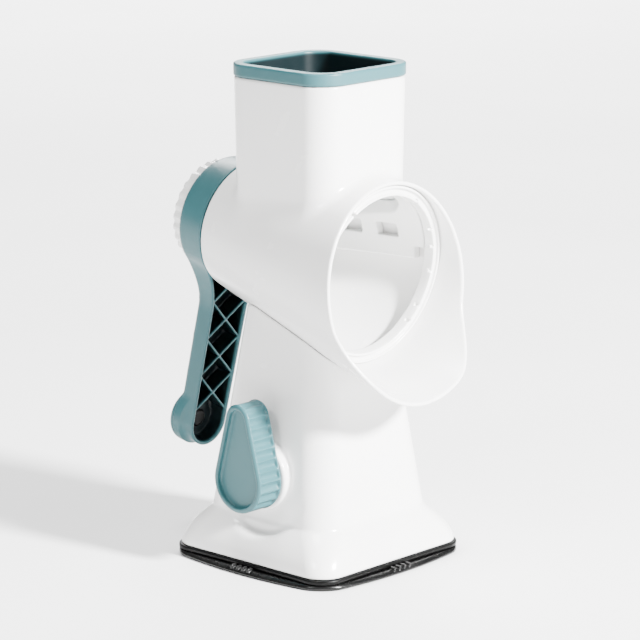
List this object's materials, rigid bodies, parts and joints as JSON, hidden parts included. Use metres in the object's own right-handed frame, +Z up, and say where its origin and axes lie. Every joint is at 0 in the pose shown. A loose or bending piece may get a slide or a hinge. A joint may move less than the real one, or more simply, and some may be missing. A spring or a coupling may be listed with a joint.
{
  "type": "rotary cheese grater",
  "caption": "Hand-cranked rotary grater body with a square hopper and hollow pusher, a slanting barrel with a pouring lip, and a lever-operated suction foot.",
  "frame": {"origin": "middle of the suction pad's flat underside, on the surface it stands on", "axes": "+Z up through the hopper, -Y the way the barrel pours, +Y the crank's side, -X the suction lever's side"},
  "size_m": [0.1403, 0.1899, 0.3],
  "materials": {
    "white_abs": "gloss",
    "teal_abs": "satin",
    "black_abs": "gloss",
    "black_rubber": "satin",
    "natural_nylon": "matte",
    "steel": "bright"
  },
  "bodies": {
    "base": {"barrel_housing": "white_abs", "throat_liner": "white_abs", "mouth_ring": "white_abs", "spindle_bush": "natural_nylon", "pedestal": "white_abs", "saddle_screw_1": "steel", "saddle_screw_2": "steel", "saddle_washer_1": "steel", "saddle_washer_2": "steel", "suction_pad": "black_rubber", "base_frame": "black_abs", "base_plate": "natural_nylon", "base_screw_1": "steel", "base_screw_2": "steel", "base_screw_3": "steel", "base_screw_4": "steel", "cam_frame": "natural_nylon", "cam_frame_screw_1": "steel", "cam_frame_screw_2": "steel", "lever_bush": "natural_nylon", "return_spring": "steel"},
    "suction_lever": {"suction_knob": "teal_abs", "cam_shaft": "steel", "shaft_clip": "steel"},
    "pull_rod": {"pull_rod": "steel"},
    "crank": {"crank_arm": "teal_abs", "drive_spindle": "steel", "thrust_washer": "natural_nylon", "grip_rivet": "black_abs"},
    "grip": {"grip_knob": "teal_abs"},
    "lock_knob": {"lock_knob": "white_abs"},
    "pusher": {"pusher": "teal_abs"}
  },
  "joints": [
    {"name": "crank_turn", "type": "hinge", "parent": "base", "child": "crank", "pos_m": [0, 0.07132, 0.19687], "axis": [0, 0.9877, 0.1564], "continuous": true},
    {"name": "grip_turn", "type": "hinge", "parent": "crank", "child": "grip", "pos_m": [-0.01236, 0.09813, 0.07111], "axis": [0, 0.9877, 0.1564], "continuous": true},
    {"name": "lock_knob_turn", "type": "hinge", "parent": "crank", "child": "lock_knob", "pos_m": [0, 0.08663, 0.1993], "axis": [0, 0.9877, 0.1564], "range_deg": [0, 360]},
    {"name": "suction_lever_turn", "type": "hinge", "parent": "base", "child": "suction_lever", "pos_m": [0, 0, 0.0571], "axis": [1, 0, 0], "range_deg": [0, 90]},
    {"name": "pull_rod_slide", "type": "slide", "parent": "base", "child": "pull_rod", "axis": [0, 0, 1], "range_m": [0, 0.003], "deforming": ["return_spring", "suction_pad"]},
    {"name": "pusher_lift", "type": "slide", "parent": "base", "child": "pusher", "axis": [0, 0, 1], "range_m": [0, 0.08]}
  ],
  "couplings": [
    {"joint": "pull_rod_slide", "follows": "suction_lever_turn", "m_per_rad": 0.0019099}
  ]
}
